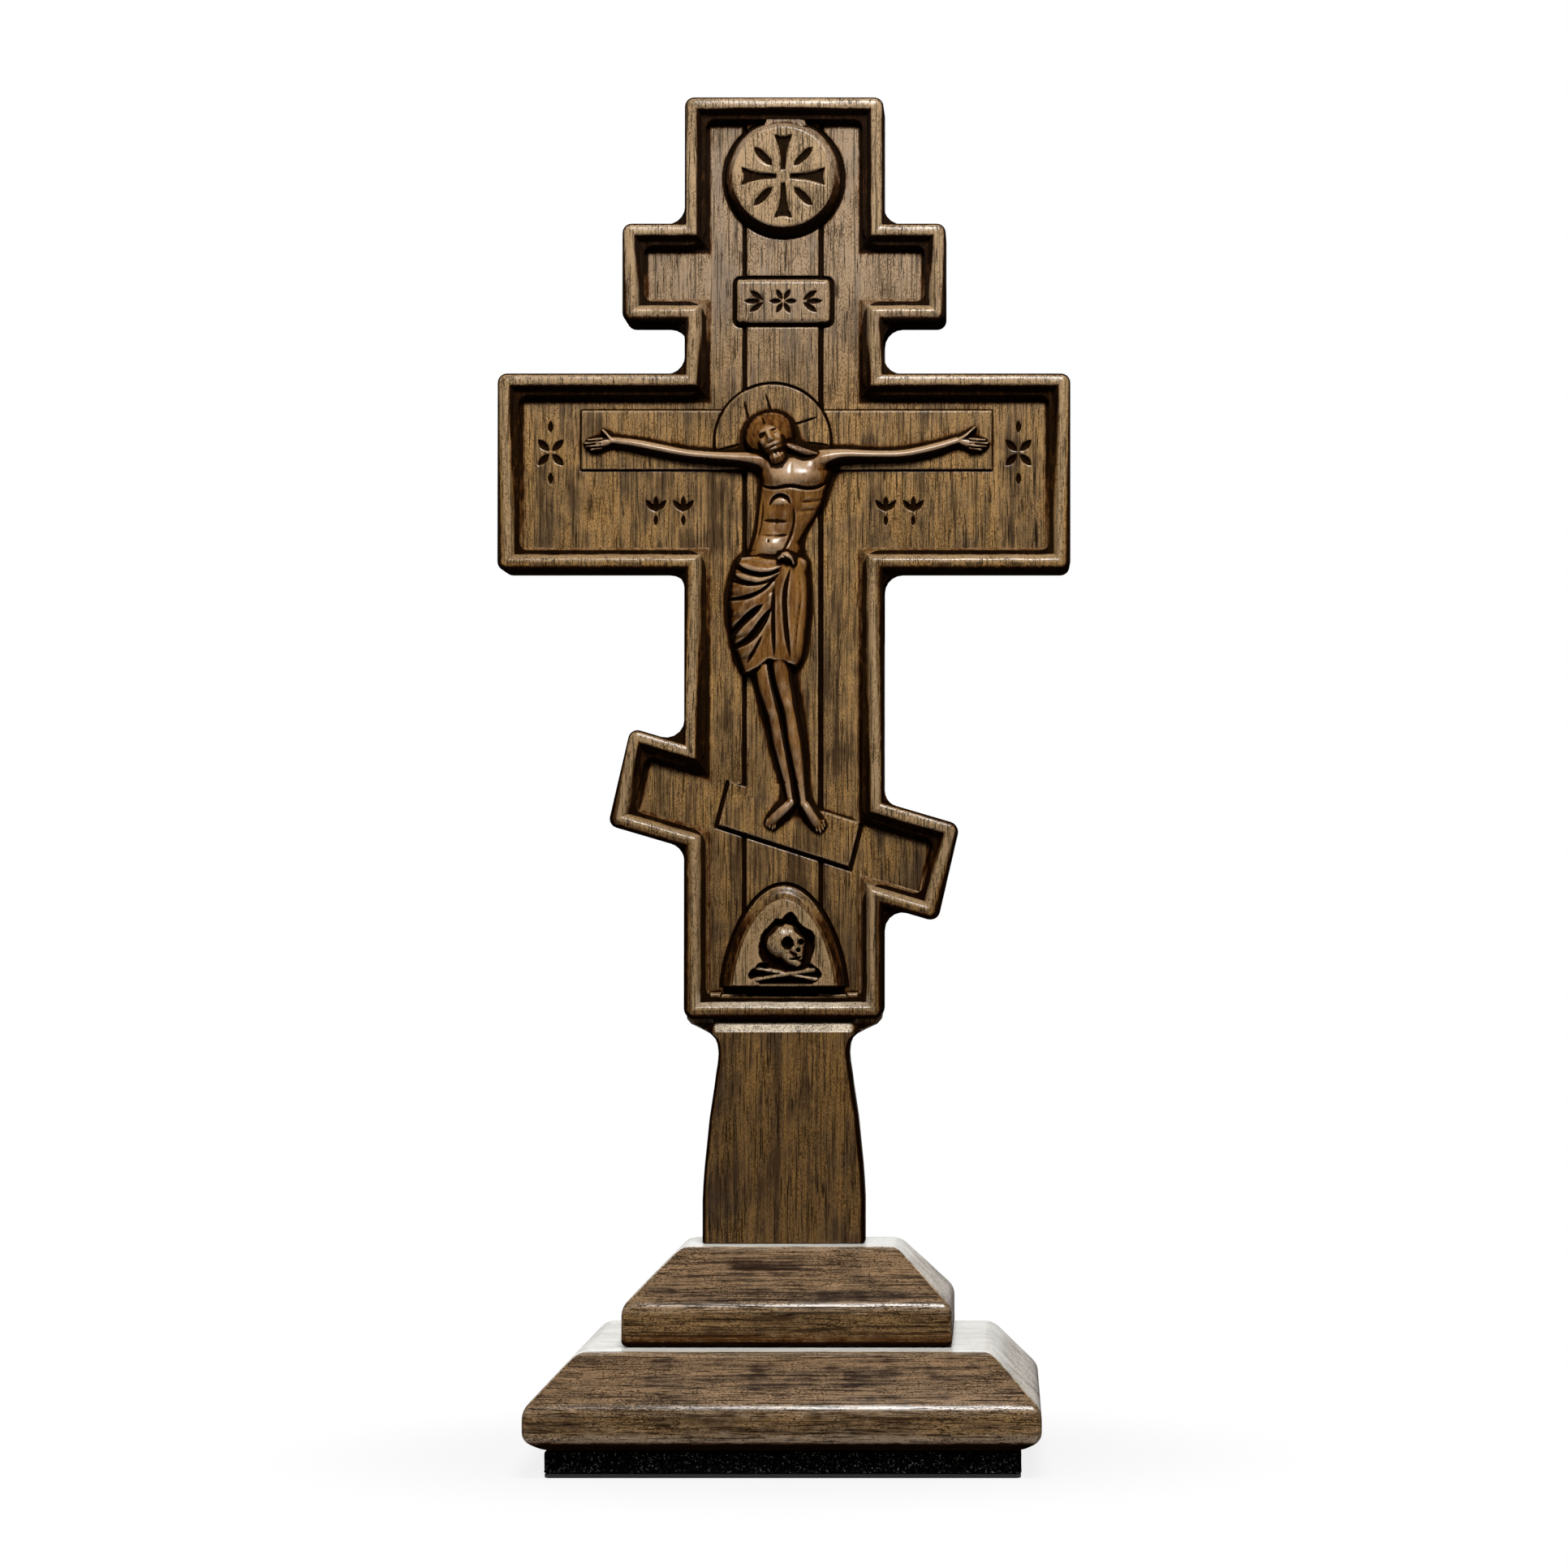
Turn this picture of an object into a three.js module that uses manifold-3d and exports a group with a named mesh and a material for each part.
// Standing cross with three bars, carved in relief from one board, on a stepped plinth.
// Millimetres, +Z up. The front faces -Y and the origin is the middle of the underside.
import * as THREE from "three";
import { mergeVertices } from "three/addons/utils/BufferGeometryUtils.js";
import Module from "manifold-3d";

// Board of the cross
const boardThickness = 18;
const boardWidth = 49.2;
const crossHeight = 283.1; // from its seat on the plinth to its top
const innerFillet = 4.5;
const outerFillet = 1.2;
const backRound = 2.5;

// Bars, each placed by the distance of its middle below the top of the board
const upperBarLength = 80;
const upperBarWidth = 24.4;
const upperBarDrop = 43.5;
const mainBarLength = 141.6;
const mainBarWidth = 48.9;
const mainBarDrop = 92.9;
const footBarLength = 81.2;
const footBarWidth = 24.7;
const footBarDrop = 180.1;
const footBarSlope = 16.4; // degrees, falling to the right
const footBarEndTilt = 13; // degrees off the vertical
const frameDrop = 228; // bottom edge of the frame

// Raised frame round the recess
const rimRound = 1.1;
const rimWidth = 3.2;
const rimCrown = 0.15; // the rim is a little higher along its middle
const slopeRun = 2.9;
const slopeBend = 0.45; // at this share of its run the slope has fallen by bendFall of its depth
const bendFall = 0.6;
const recessDepth = 4.4;
const webDrop = 1.8; // the fillets lie this far behind the rim

// Stem below the frame
const shoulderSetBack = 0.4;
const shoulderInset = 0.2; // the stem's shoulders are this much narrower than the frame
const stemRootFront = 3; // the stem reaches this far up behind the rim
const stemRootBack = 12; // and this far behind the floor
const shoulderDrop = 3.8; // fall of the shoulder from the frame's corner to the neck
const shoulderFillet = 2.6;
const neckWidth = 32.2;
const neckDrop = 7.5; // top of the flare below the frame
const stemWidth = 39.8;
const flareLength = 41;
const flareFootPull = 0.42; // how far the curve holds the width of its foot and of its neck, as shares
const flareNeckPull = 0.18;
const stemSetBack = 0.3;
const stemEdge = 1.1;
const stemTopFlare = 0.9;
const grooveHeight = 3.5;
const grooveDepth = 2.6;
const grooveLip = 0.25;
const tenonLength = 12;
const tenonShoulder = 4.5;

// Plinth
const slabLedge = 9.7; // flat top of the lower slab round the upper one
const stemLedge = 6.5; // flat top of the upper slab round the stem
const upperFaceHeight = 9.5;
const upperBevelRun = 13.5;
const upperBevelRise = 13.7;
const upperFootChamfer = 0.5;
const lowerFaceHeight = 7.2;
const lowerBevelRun = 11.8;
const lowerBevelRise = 12.6;
const lowerChamferRun = 4.7;
const lowerChamferRise = 2.8;
const slabEdgeRound = 1;
const slabCornerRound = 1.4;
const baseThickness = 5;
const baseInset = 4.7; // from the lower slab's widest outline
const baseCornerRound = 2;
const feltThickness = 1;
const feltInset = 1.2;
const seatGap = 0.2; // glue line between stacked pieces
const fitGap = 0.3; // clearance round what sits in a hole

// Relief in the recess
const shaftWidth = 18.2;
const shaftRise = 0.6;
const shaftChamfer = 0.3;
const beamLength = 102;
const beamWidth = 15;
const beamLift = 8.2; // middle of the beam above the middle of the main bar
const beamRise = 0.5;
const beamChamfer = 0.25;
const medallionRadius = 14.8;
const medallionTopRadius = 12.3;
const medallionHeight = 4;
const medallionDrop = 20.2;
const hangerWidth = 11.8; // block between the medallion and the frame
const hangerHeight = 4.4;
const hangerRise = 3.2;
const hangerChamfer = 0.3;
const plaqueWidth = 23.2;
const plaqueHeight = 10.8;
const plaqueRise = 2.4;
const plaqueChamfer = 1;
const plaqueCorner = 1.2;
const plaqueDrop = 50.3;
const haloRadius = 14.5;
const haloRise = 1.1;
const haloChamfer = 0.3;
const haloMiddle = [-2.9, 7.9]; // right of and above the crossing
const haloFoot = 3.4; // the arms cut it off at this height above the crossing
const footrestLength = 34.6;
const footrestWidth = 11.6;
const footrestRise = 1.6;
const footrestChamfer = 0.8;
const footrestShift = 1.2;
const moundWidth = 30.6;
const moundHeight = 25.2;
const moundRise = 3.4;
const moundEdge = 2.7;
const moundLift = 7.8; // its foot above the bottom edge of the frame
const nicheInset = 3.4;
const nicheLift = 1.2;
const nicheFloor = 0.5;
const skullRadius = 4.4;
const skullLift = 10.6;
const boneLength = 19;
const boneThickness = 1.7;
const boneLift = 3.4;
const figureScale = 1; // size of the hanging figure
const feetLift = 7; // ankles above the middle of the slanting bar

// Rows of the trunk and of the wrap, about the crossing: left x and z, right x and z, height
const torsoRows = [
  [-6.5, 5.4, 8.5, 5.6, 1],
  [-8.2, 4.4, 11, 4.2, 3.2],
  [-7.6, 2.4, 12, 2.4, 4.6],
  [-6.4, -1.2, 11.7, -1, 5.2],
  [-6.3, -4.4, 11, -4.4, 4.9],
  [-6.7, -7, 10.2, -7.2, 5],
  [-6.9, -10.4, 8.2, -10.6, 4.7],
  [-7.3, -13.6, 6.3, -13.8, 4.2],
  [-8.2, -16.8, 4.8, -17.2, 4.1],
  [-9.2, -19.6, 4.9, -20, 4.4],
  [-10, -21.6, 5.3, -21.8, 4],
];
const wrapRows = [
  [-11, -21.2, 6, -20, 4.4],
  [-12, -23, 6.4, -22, 5.4],
  [-13, -25.8, 6.5, -25, 5.6],
  [-13.9, -29.6, 6.7, -28.8, 5.8],
  [-14, -33.4, 6.5, -32.6, 5.9],
  [-13.6, -38.4, 6.1, -37.6, 5.8],
  [-12.7, -43, 5.5, -42.6, 5.4],
  [-11.4, -47, 4.6, -46.6, 4.8],
  [-10.4, -49.4, 3.4, -48.6, 3.6],
];

// Rounded forms about the crossing, as paths of x, z, half width and height
const breastPath = [[1, 1.6, 2.6, 5], [3.6, 1.3, 3, 5.7], [6.4, 1.8, 2.6, 5.2], [8, 2.6, 1.6, 3.6]];
const breastbone = 2; // x from which each breast runs outwards
const bellyPath = [
  [0.4, -7.4, 1.6, 4.9],
  [-0.2, -9.4, 3.2, 5.5],
  [-1, -12.6, 3.6, 5.3],
  [-2.2, -16.6, 3.8, 5.2],
  [-3, -19.4, 2.6, 4.8],
];
const knotPath = [[-1.5, -20.6, 1, 5.6], [0.6, -20.8, 1.6, 6.8], [2.4, -21.6, 1.3, 6], [3, -24, 0.8, 5.4]];
const hangingPath = [
  [1.2, -22, 1.3, 6.2],
  [1.6, -28, 1.7, 6.9],
  [1.1, -36, 2, 6.9],
  [0.4, -44, 2.2, 6.2],
  [0, -47, 1.4, 4],
];
const rollPath = [
  [-11.2, -22.4, 0.8, 5],
  [-7, -23.6, 1.1, 6.4],
  [-2, -23.2, 1.1, 6.7],
  [0.8, -21.6, 0.8, 6.4],
];
const leftArmPath = [
  [-5, 3.4, 2.4, 4.4],
  [-10, 3.7, 1.9, 3.8],
  [-18, 3.9, 1.7, 3.5],
  [-26, 4, 1.6, 3.3],
  [-33, 5, 1.8, 3.2],
  [-38, 6.8, 1.6, 3],
  [-42, 8.1, 1.3, 2.6],
  [-45.6, 7.6, 1.7, 2.4],
  [-47.6, 7.2, 1.5, 2],
];
const rightArmPath = [
  [8, 3.6, 2.4, 4.6],
  [13, 3.9, 2, 4],
  [20, 4.3, 1.7, 3.6],
  [28, 4.5, 1.6, 3.4],
  [35, 5.4, 1.6, 3.2],
  [40, 7.2, 1.4, 3],
  [43.4, 8.2, 1.2, 2.6],
  [46.8, 7.8, 1.6, 2.4],
  [48.6, 7.4, 1.4, 2],
];
const leftWrist = 42.4;
const rightWrist = 43.2;

// Thumb and fingers, measured outwards from the wrist
const fingerPaths = [
  [[1, 8.6, 0.6, 2.6], [3.2, 10.4, 0.6, 2.4], [4.4, 11.4, 0.5, 1.4]],
  [[3, 8.4, 0.6, 2.6], [6, 8.2, 0.6, 2.4], [8, 8, 0.5, 1.4]],
  [[3, 7.2, 0.6, 2.7], [6, 6.8, 0.6, 2.4], [8.2, 6.5, 0.5, 1.4]],
  [[3, 6.1, 0.5, 2.5], [5.6, 5.5, 0.5, 2.2], [7.2, 5.1, 0.4, 1.4]],
];

// Legs from under the wrap to the instep: share of the way down, half width and height
const hipDrop = 46;
const kneeShare = 0.45;
const legShares = [[0, 2.9, 4.2], [0.25, 2.7, 4.4], [kneeShare, 2.4, 4.7], [0.7, 2.3, 4], [1, 1.5, 3]];
const farLeg = { hip: -4.6, knee: -2.2, ankle: 1.5, lift: -0.4 };
const nearLeg = { hip: -0.9, knee: 1.6, ankle: 4.7, lift: 0.3 };
const farFoot = { heel: 0.9, toe: -3.6, drop: 6.6 };
const nearFoot = { heel: 5, toe: 8.6, drop: 7.4 };

// Head, bowed to the left, in a frame of its own with its middle at headMiddle
const headMiddle = [-3.3, 9.4];
const headLean = 21; // degrees
const hairPath = [
  [0, 6.6, 1.6, 2.4],
  [0, 5.6, 4, 4.6],
  [0, 3.6, 5.6, 5.8],
  [0, 1, 6.2, 6],
  [0, -1.6, 5.8, 5.4],
  [0, -4.2, 4.6, 4.6],
  [0, -5.4, 3, 3.4],
];
const facePath = [
  [0, 4.4, 2.4, 5.8],
  [0, 3, 3.4, 6.9],
  [0, 1.4, 3.7, 6.6],
  [0, 0.6, 3.8, 6.9],
  [0, -1.4, 3.5, 6.8],
  [0, -3.2, 3, 6.6],
  [0, -5.2, 2.4, 6],
  [0, -6.8, 1.3, 5],
  [0, -7.6, 0.5, 4],
];
const nosePath = [[0, 2.4, 0.5, 7], [0, 0.6, 0.7, 7.6], [0, -0.6, 0.9, 8], [0, -1.1, 0.7, 7]];
const browPath = [
  [-2.8, 2, 0.4, 6.8],
  [-1.4, 2.4, 0.5, 7.3],
  [0, 2.3, 0.5, 7.3],
  [1.4, 2.4, 0.5, 7.3],
  [2.8, 2, 0.4, 6.8],
];
const lockPath = [[0.6, 7.4, 1.2, 4.6], [3.4, 6, 1.3, 5.2], [6.4, 5.2, 1.1, 4.8], [8.2, 5, 0.7, 3.6]];

// Skull turned to the right, about its middle, in skull radii: x, z and half width, then height in mm
const craniumShares = [
  [-0.95, 0, 0.35, 1.2],
  [-0.6, 0.05, 0.8, 2.5],
  [0, 0.1, 1, 3.1],
  [0.6, 0.02, 0.85, 2.8],
  [1, -0.1, 0.5, 1.6],
];
const jawShares = [[0.1, -0.5, 0.55, 2.6], [0.5, -1.05, 0.5, 2.6], [0.8, -1.5, 0.35, 1.8]];
const socketShare = { x: 0.15, radius: 0.28, height: 3.1 };

// A bone: share of its half length, share of its half thickness, height
const boneShares = [
  [-1, 0.7, 1],
  [-0.86, 1.5, 2],
  [-0.6, 0.9, 2],
  [0.6, 0.9, 2.2],
  [0.86, 1.5, 2],
  [1, 0.7, 1],
];
const boneRises = [1.9, -1.6]; // rise of each bone from its middle to its right end

// Screws: total length, shank radius, head radius, depth of the counterbore, place on the plinth
const stemScrew = { length: 66, shank: 2.2, head: 4.2, sink: 6, x: 8.5, y: 0 };
const slabScrew = { length: 26, shank: 1.9, head: 3.8, sink: 6, x: 28, y: 17 };
const baseScrew = { length: 15, shank: 1.5, head: 3, sink: 0.3, x: 45, y: 33 };
const headRim = 0.6; // straight edge of a countersunk head

const root = 0.8; // relief reaches this far into the board behind the floor
const overrun = 1; // a cut runs this far past the surface that it opens

const rad = THREE.MathUtils.degToRad;
const wasm = await Module();
wasm.setup();

// Heights of the stack, from the ground up
const baseZ = feltThickness + seatGap;
const lowerZ = baseZ + baseThickness + seatGap;
const lowerThickness = lowerChamferRise + lowerFaceHeight + lowerBevelRise;
const upperZ = lowerZ + lowerThickness + seatGap;
const upperThickness = upperFaceHeight + upperBevelRise;
const stemZ = upperZ + upperThickness + seatGap;
const topZ = stemZ + crossHeight;

// Half sizes in plan, worked outwards from the stem
const stemHalf = [stemWidth / 2, boardThickness / 2];
const upperHalf = stemHalf.map((half) => half + stemLedge + upperBevelRun);
const lowerHalf = upperHalf.map((half) => half + slabLedge + lowerBevelRun);
const baseHalf = lowerHalf.map((half) => half - baseInset);
const feltHalf = baseHalf.map((half) => half - feltInset);

const frontY = -boardThickness / 2;
const floorY = frontY + recessDepth;
const upperBarZ = topZ - upperBarDrop;
const mainBarZ = topZ - mainBarDrop;
const footBarZ = topZ - footBarDrop;
const frameZ = topZ - frameDrop;
const moundFoot = frameZ + moundLift;

// A closed geometry from points and triangles, turned so that its faces point out.
function closedGeometry(points, triangles) {
  let volume = 0;
  for (const [a, b, c] of triangles) {
    volume += points[a].dot(new THREE.Vector3().crossVectors(points[b], points[c]));
  }
  const order = volume < 0 ? triangles.map(([a, b, c]) => [a, c, b]) : triangles;
  const geometry = new THREE.BufferGeometry().setFromPoints(points);
  geometry.setIndex(order.flat());
  return geometry;
}

// Joins closed rings of equally many points, one after another, and closes both ends.
function loftRings(rings) {
  const count = rings[0].length;
  const last = (rings.length - 1) * count;
  const triangles = [];
  for (let r = 0; r + 1 < rings.length; r += 1) {
    for (let i = 0; i < count; i += 1) {
      const a = r * count + i;
      const b = r * count + ((i + 1) % count);
      triangles.push([a, b, b + count], [a, b + count, a + count]);
    }
  }
  triangles.push(...capTriangles(rings[0]).map(([a, b, c]) => [a, c, b]));
  triangles.push(...capTriangles(rings[rings.length - 1]).map((corners) => corners.map((i) => last + i)));
  return closedGeometry(rings.flat(), triangles);
}

// Triangles that fill a flat ring, run the same way round as the ring.
function capTriangles(ring) {
  const normal = new THREE.Vector3();
  ring.forEach((point, i) => {
    normal.add(new THREE.Vector3().crossVectors(point, ring[(i + 1) % ring.length]));
  });
  const turn = new THREE.Quaternion().setFromUnitVectors(normal.normalize(), new THREE.Vector3(0, 0, 1));
  const flat = ring.map((point) => point.clone().applyQuaternion(turn));
  return THREE.ShapeUtils.triangulateShape(
    flat.map((point) => new THREE.Vector2(point.x, point.y)),
    [],
  );
}

// A solid from a closed geometry, without the triangles whose corners fall together.
function solidOf(geometry) {
  const plain = geometry.clone();
  plain.deleteAttribute("normal");
  plain.deleteAttribute("uv");
  const merged = mergeVertices(plain, 1e-4);
  const corners = merged.index.array;
  const kept = [];
  for (let i = 0; i < corners.length; i += 3) {
    const [a, b, c] = corners.subarray(i, i + 3);
    if (a !== b && b !== c && c !== a) kept.push(a, b, c);
  }
  const vertProperties = new Float32Array(merged.attributes.position.array);
  return new wasm.Manifold(new wasm.Mesh({ numProp: 3, vertProperties, triVerts: new Uint32Array(kept) }));
}

function geometryOf(solid) {
  const { vertProperties, triVerts } = solid.getMesh();
  const geometry = new THREE.BufferGeometry();
  geometry.setAttribute("position", new THREE.BufferAttribute(new Float32Array(vertProperties), 3));
  geometry.setIndex(new THREE.BufferAttribute(new Uint32Array(triVerts), 1));
  geometry.computeVertexNormals();
  return geometry;
}

const joinAll = (geometries) => geometries.map(solidOf).reduce((whole, piece) => whole.add(piece));
const cutAll = (solid, geometries) => {
  return geometries.map(solidOf).reduce((rest, tool) => rest.subtract(tool), solid);
};

// A corner of an outline, with the radius of its fillet.
const corner = (x, z, radius = 0) => Object.assign(new THREE.Vector2(x, z), { radius });
const mirror = (points) => points.map((point) => corner(-point.x, point.y, point.radius)).reverse();

// Moves each edge of a counter-clockwise outline inwards and keeps its corners as mitres.
function insetLoop(loop, inset) {
  return loop.map((here, i) => {
    const before = loop[(i + loop.length - 1) % loop.length];
    const after = loop[(i + 1) % loop.length];
    const into = new THREE.Vector2().subVectors(here, before).normalize();
    const out = new THREE.Vector2().subVectors(after, here).normalize();
    const normal = new THREE.Vector2(-into.y - out.y, into.x + out.x);
    const moved = normal.multiplyScalar(inset / (1 + into.dot(out))).add(here);
    return corner(moved.x, moved.y, here.radius);
  });
}

// Rounds each corner that carries a radius with an arc of a few steps. The share scales the radius of
// the outer corners. An inner corner can also be sharp, with its points spread along the two edges,
// or sharp with all of them in the corner.
function filletLoop(loop, share = 1, inner = "arc", steps = 4) {
  return loop.flatMap((here, i) => {
    if (!here.radius) return [here];
    const before = loop[(i + loop.length - 1) % loop.length];
    const after = loop[(i + 1) % loop.length];
    const toBefore = new THREE.Vector2().subVectors(before, here).normalize();
    const toAfter = new THREE.Vector2().subVectors(after, here).normalize();
    const isOuter = toAfter.cross(toBefore) > 0;
    const radius = isOuter ? here.radius * share : here.radius;
    const half = Math.acos(THREE.MathUtils.clamp(toBefore.dot(toAfter), -1, 1)) / 2;
    const reach = radius / Math.tan(half);
    const middle = toBefore.clone().add(toAfter).normalize().multiplyScalar(radius / Math.sin(half));
    const centre = middle.add(here);
    const start = toBefore.clone().multiplyScalar(reach).add(here).sub(centre);
    const end = toAfter.clone().multiplyScalar(reach).add(here).sub(centre);
    const sweep = Math.atan2(start.cross(end), start.dot(end));
    return Array.from({ length: steps + 1 }, (_, k) => {
      const along = (2 * k) / steps - 1;
      if (isOuter ? !share : inner === "sharp") return here;
      if (!isOuter && inner === "spread") {
        return (along < 0 ? toBefore : toAfter).clone().multiplyScalar(Math.abs(along) * reach).add(here);
      }
      return start.clone().rotateAround(new THREE.Vector2(), (sweep * k) / steps).add(centre);
    });
  });
}

// A bar's long edges as heights over x, and how far its end corners reach from the middle.
function barEdges(length, width, z, slope = 0, endTilt = 0) {
  const fall = Math.tan(rad(slope));
  const lean = Math.tan(rad(endTilt));
  const rise = width / 2 / Math.cos(rad(slope));
  const heightAt = (x, edge) => z - x * fall + edge * rise;
  const reach = (end, edge) => (end * length) / 2 + (edge * rise * lean) / (1 + fall * lean);
  return { heightAt, reach };
}

// Corners of the board on one side, from its top down past the three bars.
function barCorners(side) {
  const bars = [
    barEdges(upperBarLength, upperBarWidth, upperBarZ),
    barEdges(mainBarLength, mainBarWidth, mainBarZ),
    barEdges(footBarLength, footBarWidth, footBarZ, footBarSlope, footBarEndTilt),
  ];
  const x = (side * boardWidth) / 2;
  const corners = [corner(x, topZ, outerFillet)];
  for (const { heightAt, reach } of bars) {
    const ends = [1, -1].map((edge) => {
      const endX = reach(side, edge);
      return corner(endX, heightAt(endX, edge), outerFillet);
    });
    corners.push(corner(x, heightAt(x, 1), innerFillet), ...ends, corner(x, heightAt(x, -1), innerFillet));
  }
  return corners;
}

// Outline of the framed part, down to the frame's bottom edge, counter-clockwise.
function frameOutline() {
  const side = (sign) => [...barCorners(sign), corner((sign * boardWidth) / 2, frameZ, shoulderFillet)];
  return [...side(-1), ...side(1).reverse()];
}

// Right side of the stem from its foot to the neck, flared like a slow S.
function flare() {
  const neckZ = frameZ - neckDrop;
  const footZ = neckZ - flareLength;
  const curve = new THREE.CubicBezierCurve(
    new THREE.Vector2(stemWidth / 2, footZ),
    new THREE.Vector2(stemWidth / 2, footZ + flareLength * flareFootPull),
    new THREE.Vector2(neckWidth / 2, neckZ - flareLength * flareNeckPull),
    new THREE.Vector2(neckWidth / 2, neckZ),
  );
  return curve.getPoints(14).map((point) => corner(point.x, point.y));
}

// The stem with its shoulders, up to a height above the frame's bottom edge.
function stemOutline(rise) {
  const shoulder = boardWidth / 2 - shoulderInset;
  const right = [
    corner(stemWidth / 2, stemZ),
    ...flare(),
    corner(neckWidth / 2, frameZ - shoulderDrop, shoulderFillet),
    corner(shoulder, frameZ - shoulderSetBack, shoulderFillet),
    corner(shoulder, frameZ + rise),
  ];
  return [...right, ...mirror(right)];
}

// The raised front of the stem, up to the groove under the frame.
function stemFrontOutline() {
  const top = corner(neckWidth / 2 + stemTopFlare, frameZ - overrun);
  const right = [corner(stemWidth / 2, stemZ), ...flare(), top];
  return [...right, ...mirror(right)];
}

// A ring of an outline at one inset and depth, and a stack of such rings.
function boardRing(outline, [inset, y, share, inner]) {
  const loop = filletLoop(insetLoop(outline, inset), share, inner);
  return loop.map((point) => new THREE.Vector3(point.x, y, point.y));
}

const boardStack = (outline, levels) => loftRings(levels.map((level) => boardRing(outline, level)));

// Points of a quarter round, from (0, 0) to (run, depth).
const quarter = (run, depth, steps) => {
  return Array.from({ length: steps + 1 }, (_, k) => {
    const angle = (Math.PI / 2) * (k / steps);
    return [run * (1 - Math.cos(angle)), depth * Math.sin(angle)];
  });
};

// Levels of the edge that is rounded over to the back, from the sides to the back.
const backLevels = () => {
  const start = boardThickness / 2 - backRound;
  return quarter(backRound, backRound, 3).map(([run, depth]) => [run, start + depth]);
};

// The framed board, from its back to its recessed floor: a web fills each inner corner behind the rim,
// and the rounded edge, the crowned rim and the slope down to the floor are mitred at every corner.
function framedBoard() {
  const rounded = quarter(rimRound, rimRound, 2).map(([run, depth]) => {
    return [run, frontY + rimRound - depth, 1 - run / rimRound, "sharp"];
  });
  const levels = [
    ...backLevels().reverse(),
    [0, frontY + webDrop],
    [0, frontY + webDrop, 1, "spread"],
    ...rounded,
    [(rimRound + rimWidth) / 2, frontY - rimCrown, 0, "sharp"],
    [rimWidth, frontY, 0, "sharp"],
    [rimWidth + slopeRun * slopeBend, frontY + recessDepth * bendFall, 0, "sharp"],
    [rimWidth + slopeRun, floorY, 0, "sharp"],
  ];
  return boardStack(frameOutline(), levels);
}

function stemBody() {
  const low = [frontY + webDrop, floorY].map((y) => boardRing(stemOutline(stemRootFront), [0, y]));
  const deep = [[0, floorY + overrun], ...backLevels()];
  return loftRings([...low, ...deep.map((level) => boardRing(stemOutline(stemRootBack), level))]);
}

function stemFront() {
  const face = frontY + stemSetBack;
  const levels = quarter(stemEdge, stemEdge, 2).map(([run, depth]) => [run, face + stemEdge - depth]);
  return boardStack(stemFrontOutline(), [[0, frontY + webDrop + overrun], ...levels]);
}

// A wedge across the stem: steep under the frame, sloping out below.
function grooveCut() {
  const reach = boardWidth / 2 + overrun;
  const section = [
    [frontY - overrun, frameZ + grooveLip],
    [frontY + grooveDepth, frameZ - grooveLip],
    [frontY - overrun, frameZ - grooveHeight - overrun],
  ];
  return loftRings([-reach, reach].map((x) => section.map(([y, z]) => new THREE.Vector3(x, y, z))));
}

function tenon(grow = 0) {
  const [width, depth] = stemHalf.map((half) => 2 * (half - tenonShoulder + grow));
  const top = grow ? stemZ - seatGap / 2 : stemZ + overrun;
  const bottom = stemZ - tenonLength - grow;
  return new THREE.BoxGeometry(width, depth, top - bottom).translate(0, 0, (top + bottom) / 2);
}

// A carved form that rises from the floor. Each station gives both feet of its section and its height,
// and the profile turns the place across the section into a share of that height.
function reliefLoft(stations, profile, steps = 8) {
  const rings = stations.map(({ left, right, height }, s) => {
    const along = s / (stations.length - 1);
    const point = (t, rise) => {
      const foot = left.clone().lerp(right, t);
      return new THREE.Vector3(foot.x, floorY - rise, foot.y);
    };
    const crest = Array.from({ length: steps + 1 }, (_, k) => {
      const t = (1 - Math.cos((Math.PI * k) / steps)) / 2;
      return point(t, height * profile(t, along));
    });
    return [point(0, -root), ...crest, point(1, -root)];
  });
  return loftRings(rings);
}

const round = (t) => Math.sqrt(Math.max(0, 1 - (2 * t - 1) ** 2));
const fleshy = (t) => Math.max(0, 1 - Math.abs(2 * t - 1) ** 3) ** 0.6;

// Stations across a path: each path point has x, z, half width and height.
function acrossPath(path) {
  return path.map(([x, z, halfWidth, height], i) => {
    const [x0, z0] = path[Math.max(0, i - 1)];
    const [x1, z1] = path[Math.min(path.length - 1, i + 1)];
    const side = new THREE.Vector2(z1 - z0, x0 - x1).normalize().multiplyScalar(halfWidth);
    const middle = new THREE.Vector2(x, z);
    return { left: middle.clone().sub(side), right: middle.clone().add(side), height };
  });
}

const limb = (path, profile = round, steps = 8) => reliefLoft(acrossPath(path), profile, steps);

// The figure is drawn about the crossing; its feet keep their place on the slanting bar.
const feetDrop = (mainBarZ - footBarZ - feetLift) / figureScale;
const figurePoint = ([x, z, ...sizes]) => {
  return [x * figureScale, mainBarZ + z * figureScale, ...sizes.map((size) => size * figureScale)];
};
const figureLimb = (path, steps) => limb(path.map(figurePoint), round, steps);

function figureStations(rows) {
  return rows.map(([x0, z0, x1, z1, height]) => {
    const [left, right] = [[x0, z0], [x1, z1]].map((point) => new THREE.Vector2(...figurePoint(point)));
    return { left, right, height: height * figureScale };
  });
}

// The chest muscles and the belly stand a little out of the trunk.
function trunk() {
  const breasts = [-1, 1].map((side) => {
    return figureLimb(breastPath.map(([x, ...rest]) => [breastbone + side * x, ...rest]), 6);
  });
  return [reliefLoft(figureStations(torsoRows), fleshy, 12), ...breasts, figureLimb(bellyPath)];
}

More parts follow.
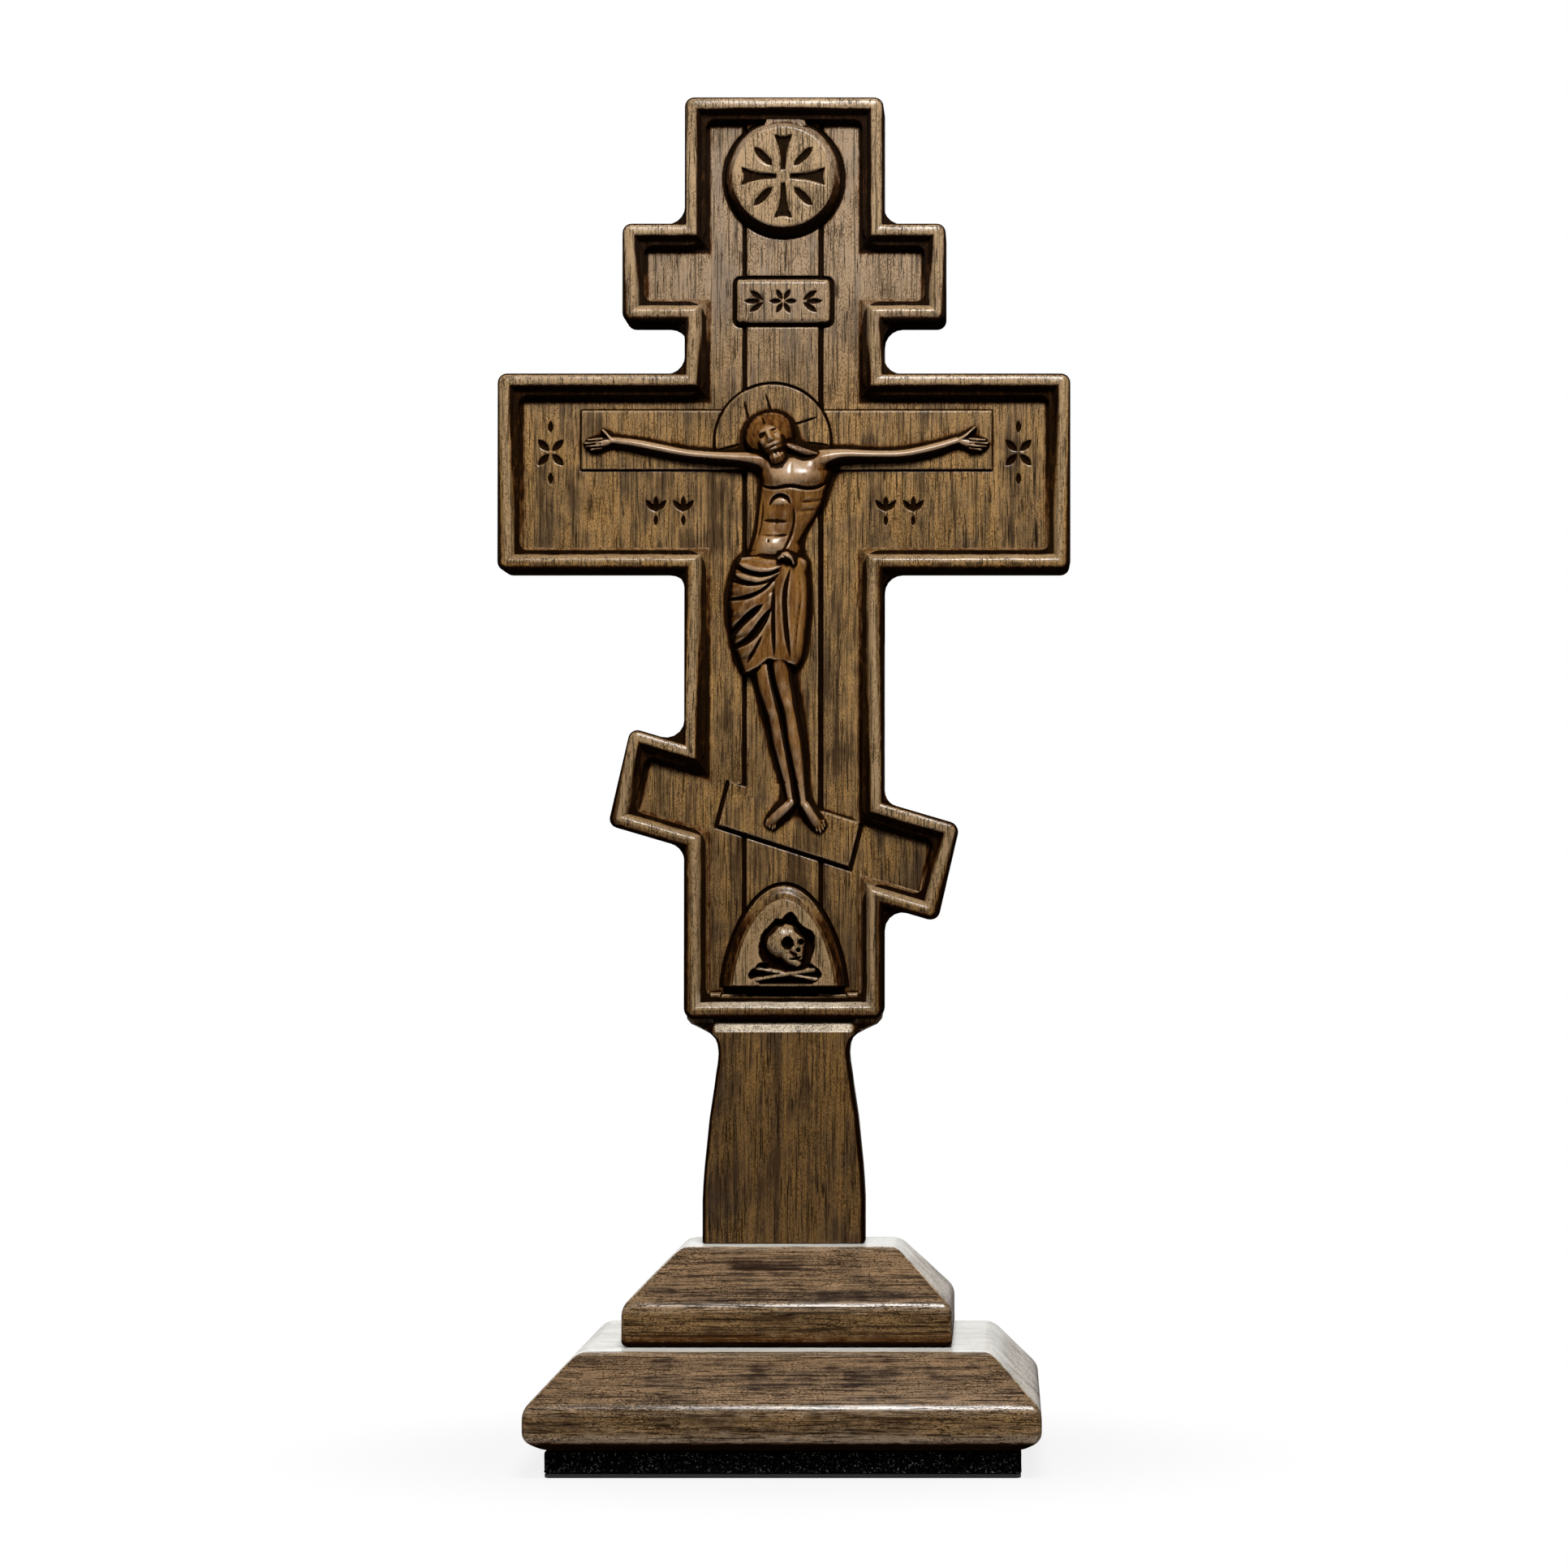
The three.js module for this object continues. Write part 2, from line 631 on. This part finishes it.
// The wrap's folds run as ridges that swing down from the knot at the right hip.
function wrap() {
  const folds = (t, along) => 1 + 0.09 * Math.cos(2 * Math.PI * (3.5 * t + 1.6 * along));
  const cloth = reliefLoft(figureStations(wrapRows), (t, along) => fleshy(t) * folds(t, along), 18);
  return [cloth, figureLimb(knotPath), figureLimb(hangingPath), figureLimb(rollPath, 6)];
}

// Each leg runs from under the wrap to the instep, and its foot turns outwards.
function legs() {
  const legPath = ({ hip, knee, ankle, lift }) => {
    return legShares.map(([share, width, height]) => {
      const bent = share < kneeShare ? share / kneeShare : (share - kneeShare) / (1 - kneeShare);
      const [from, to] = share < kneeShare ? [hip, knee] : [knee, ankle];
      return [from + (to - from) * bent, -hipDrop - share * (feetDrop - hipDrop), width, height + lift];
    });
  };
  const footPath = ({ heel, toe, drop }) => [
    [heel, -feetDrop + 0.6, 1.5, 3.2],
    [(heel + toe) / 2, -feetDrop - drop / 2, 1.5, 3.6],
    [toe, -feetDrop - drop, 1.3, 2.4],
    [toe * 1.06, -feetDrop - drop - 0.8, 0.8, 1.6],
  ];
  const paths = [legPath(farLeg), legPath(nearLeg), footPath(farFoot), footPath(nearFoot)];
  return paths.map((path) => figureLimb(path));
}

function arms() {
  const hand = (side, wrist) => {
    const place = ([out, ...rest]) => [side * (wrist + out), ...rest];
    return fingerPaths.map((finger) => figureLimb(finger.map(place), 5));
  };
  return [figureLimb(leftArmPath), figureLimb(rightArmPath), ...hand(-1, leftWrist), ...hand(1, rightWrist)];
}

// Hair, face with beard, nose and brow, and a lock on the right shoulder.
function head() {
  const middle = new THREE.Vector2(...headMiddle);
  const place = ([a, b, ...sizes]) => {
    const turned = new THREE.Vector2(a, b).rotateAround(new THREE.Vector2(), rad(headLean)).add(middle);
    return figurePoint([turned.x, turned.y, ...sizes]);
  };
  return [
    limb(hairPath.map(place), fleshy, 12),
    limb(facePath.map(place), round, 12),
    limb(nosePath.map(place), round, 4),
    limb(browPath.map(place), round, 4),
    figureLimb(lockPath),
  ];
}

// A turned form on the floor, from a profile of radius and height.
function turned(profile, x, z, segments = 48) {
  const points = [[0, -root], ...profile].map(([radius, rise]) => new THREE.Vector2(radius, rise));
  return new THREE.LatheGeometry(points, segments).rotateX(Math.PI).translate(x, floorY, z);
}

function medallion() {
  const edge = medallionRadius - medallionTopRadius;
  const side = quarter(edge, 1, 3).map(([run, rise]) => [medallionRadius - run, medallionHeight * rise]);
  return turned([[medallionRadius, -root], ...side, [0, medallionHeight]], 0, topZ - medallionDrop);
}

function halo() {
  const [x, z] = figurePoint(haloMiddle);
  const radius = haloRadius * figureScale;
  const edge = [[radius, -root], [radius, haloRise - haloChamfer], [radius - haloChamfer, haloRise]];
  const disc = turned([...edge, [0, haloRise]], x, z, 56);
  const foot = mainBarZ + haloFoot * figureScale;
  const below = new THREE.BoxGeometry(4 * radius, boardThickness, 2 * radius);
  return geometryOf(cutAll(solidOf(disc), [below.translate(x, frontY, foot - radius)]));
}

// Flat raised fields with a chamfered edge, from an outline on the floor.
function raisedField(outline, rise, chamfer) {
  return boardStack(outline, [[0, floorY + root], [0, floorY - rise + chamfer], [chamfer, floorY - rise]]);
}

function rectangle(width, height, z, radius = 0) {
  const left = [corner(-width / 2, z + height / 2, radius), corner(-width / 2, z - height / 2, radius)];
  return [...left, ...mirror(left)];
}

function shaft() {
  const top = topZ - rimWidth - overrun;
  const bottom = frameZ + rimWidth + overrun;
  return raisedField(rectangle(shaftWidth, top - bottom, (top + bottom) / 2), shaftRise, shaftChamfer);
}

function hanger() {
  const middle = topZ - rimWidth - hangerHeight / 2;
  return raisedField(rectangle(hangerWidth, hangerHeight, middle), hangerRise, hangerChamfer);
}

function footrest() {
  const { heightAt, reach } = barEdges(footrestLength, footrestWidth, footBarZ, footBarSlope, footBarEndTilt);
  const outline = [[-1, 1], [-1, -1], [1, -1], [1, 1]].map(([end, edge]) => {
    const x = reach(end, edge) + footrestShift;
    return corner(x, heightAt(x, edge));
  });
  return raisedField(outline, footrestRise, footrestChamfer);
}

// The pointed mound's outline, as a curve from its foot to its crown, at one height over the floor.
function moundRing(halfWidth, height, foot, y) {
  const curve = new THREE.CubicBezierCurve(
    new THREE.Vector2(halfWidth, foot),
    new THREE.Vector2(halfWidth * 0.92, foot + height * 0.53),
    new THREE.Vector2(halfWidth * 0.62, foot + height),
    new THREE.Vector2(0, foot + height),
  );
  const right = curve.getPoints(14);
  return [...right, ...mirror(right.slice(0, -1))].map((point) => new THREE.Vector3(point.x, y, point.y));
}

// A hill with a rounded edge and a hollow in its face.
function mound() {
  const ring = (inset, rise) => {
    return moundRing(moundWidth / 2 - inset, moundHeight - inset * 1.1, moundFoot, floorY - rise);
  };
  const edge = quarter(moundEdge, moundRise, 3).slice(1);
  const inset = moundEdge + nicheInset;
  const hollow = [floorY - nicheFloor, frontY - overrun].map((y) => {
    return moundRing(moundWidth / 2 - inset + 1, moundHeight - inset * 1.2, moundFoot + nicheLift, y);
  });
  const hill = loftRings([[0, -root], ...edge].map(([run, rise]) => ring(run, rise)));
  return cutAll(solidOf(hill), [loftRings(hollow)]);
}

function skull() {
  const middle = moundFoot + skullLift;
  const place = ([x, z, width, height]) => {
    return [x * skullRadius, middle + z * skullRadius, width * skullRadius, height];
  };
  const { x, radius, height } = socketShare;
  const socket = new THREE.SphereGeometry(radius * skullRadius, 10, 6);
  socket.translate(x * skullRadius, floorY - height, middle);
  return cutAll(joinAll([limb(craniumShares.map(place), round, 10), limb(jawShares.map(place))]), [socket]);
}

function bones() {
  const half = boneLength / 2;
  return boneRises.map((rise) => {
    const place = ([along, width, height]) => {
      return [along * half, moundFoot + boneLift + rise * along, (width * boneThickness) / 2, height];
    };
    return limb(boneShares.map(place), round, 6);
  });
}

function carvedCross() {
  const board = cutAll(joinAll([framedBoard(), stemBody(), stemFront(), tenon()]), [grooveCut()]);
  const plaque = rectangle(plaqueWidth, plaqueHeight, topZ - plaqueDrop, plaqueCorner);
  const fields = [
    shaft(),
    raisedField(rectangle(beamLength, beamWidth, mainBarZ + beamLift), beamRise, beamChamfer),
    medallion(),
    hanger(),
    raisedField(plaque, plaqueRise, plaqueChamfer),
    halo(),
    footrest(),
  ];
  const relief = joinAll([...fields, ...trunk(), ...wrap(), ...legs(), ...arms(), ...head(), ...bones()]);
  const carved = board.add(relief).add(mound()).add(skull());
  return cutAll(carved, screwTools(stemScrew, lowerZ));
}

// Rounded rectangle in plan, counter-clockwise.
function planRing([halfX, halfY], radius, z) {
  const right = [corner(halfX, -halfY, radius), corner(halfX, halfY, radius)];
  return filletLoop([...right, ...mirror(right)]).map((point) => new THREE.Vector3(point.x, point.y, z));
}

// A slab from its side profile: pairs of inset and height, with the rounded edges drawn as arcs.
function slab(half, profile, z) {
  const side = profile.map(([inset, height], i) => {
    const rounded = i > 0 && i < profile.length - 1;
    return corner(inset, height, rounded ? slabEdgeRound : 0);
  });
  const middle = [side[side.length - 1], side[0]].map((point) => corner(half[1], point.y));
  const path = filletLoop([...side, ...middle]).slice(0, -middle.length);
  const ring = ({ x, y }) => planRing(half.map((size) => size - x), slabCornerRound, z + y);
  return loftRings(path.map(ring));
}

function plate(half, radius, z, thickness) {
  return loftRings([z, z + thickness].map((level) => planRing(half, radius, level)));
}

// Screw standing on its head: countersunk head, plain shank and a short point.
function screwGeometry({ length, shank, head, sink }, z, grow = 0) {
  const profile = [
    [0, sink - grow],
    [head + grow, sink - grow],
    [head + grow, sink + headRim + grow],
    [shank + grow, sink + headRim + head - shank + grow],
    [shank + grow, sink + length - 2 * shank],
    [0, sink + length + grow],
  ];
  const points = profile.map(([radius, height]) => new THREE.Vector2(radius, height));
  return new THREE.LatheGeometry(points, 16).rotateX(Math.PI / 2).translate(0, 0, z);
}

function screwPlaces({ x, y }) {
  const rows = y ? [y, -y] : [0];
  return rows.flatMap((row) => [-x, x].map((column) => [column, row]));
}

// Cutting tools for the holes of one kind of screw, with its counterbore opened downwards.
function screwTools(spec, z) {
  return screwPlaces(spec).flatMap(([x, y]) => {
    const radius = spec.head + fitGap;
    const bore = new THREE.CylinderGeometry(radius, radius, spec.sink + 2 * overrun, 16).rotateX(Math.PI / 2);
    bore.translate(x, y, z + spec.sink / 2 - overrun);
    return [screwGeometry(spec, z, fitGap).translate(x, y, 0), bore];
  });
}

const lowerProfile = [
  [lowerChamferRun, 0],
  [0, lowerChamferRise],
  [0, lowerChamferRise + lowerFaceHeight],
  [lowerBevelRun, lowerThickness],
];
const upperProfile = [
  [upperFootChamfer, 0],
  [0, upperFootChamfer],
  [0, upperFaceHeight],
  [upperBevelRun, upperThickness],
];

const wood = { color: 0x5a3f22, roughness: 0.48, metalness: 0 };
const slabWood = { color: 0x50371d, roughness: 0.5, metalness: 0 };
const black = { color: 0x0c0b0a, roughness: 0.85, metalness: 0 };
const felt = { color: 0x080808, roughness: 1, metalness: 0 };
const steel = { color: 0xb8b6b0, roughness: 0.35, metalness: 1 };

const cross = new THREE.Group();

function addPiece(name, geometry, finish) {
  const mesh = new THREE.Mesh(geometry, new THREE.MeshStandardMaterial(finish));
  mesh.name = name;
  cross.add(mesh);
  return mesh;
}

function addScrews(name, spec, z) {
  screwPlaces(spec).forEach(([x, y], i) => {
    addPiece(`${name}_${i + 1}`, screwGeometry(spec, z), steel).position.set(x, y, 0);
  });
}

const baseHoles = screwTools(baseScrew, baseZ);
const slabHoles = [...screwTools(stemScrew, lowerZ), ...screwTools(slabScrew, lowerZ), ...baseHoles];
const upperSlab = cutAll(solidOf(slab(upperHalf, upperProfile, upperZ)), [tenon(fitGap), ...slabHoles]);
const lowerSlab = cutAll(solidOf(slab(lowerHalf, lowerProfile, lowerZ)), slabHoles);
const baseBoard = cutAll(solidOf(plate(baseHalf, baseCornerRound, baseZ, baseThickness)), baseHoles);

addPiece("carved_cross", geometryOf(carvedCross()), wood);
addPiece("upper_plinth", geometryOf(upperSlab), slabWood);
addPiece("lower_plinth", geometryOf(lowerSlab), slabWood);
addPiece("base_board", geometryOf(baseBoard), black);
addPiece("felt_pad", plate(feltHalf, baseCornerRound, 0, feltThickness), felt);
addScrews("stem_screw", stemScrew, lowerZ);
addScrews("slab_screw", slabScrew, lowerZ);
addScrews("base_screw", baseScrew, baseZ);

export default cross;
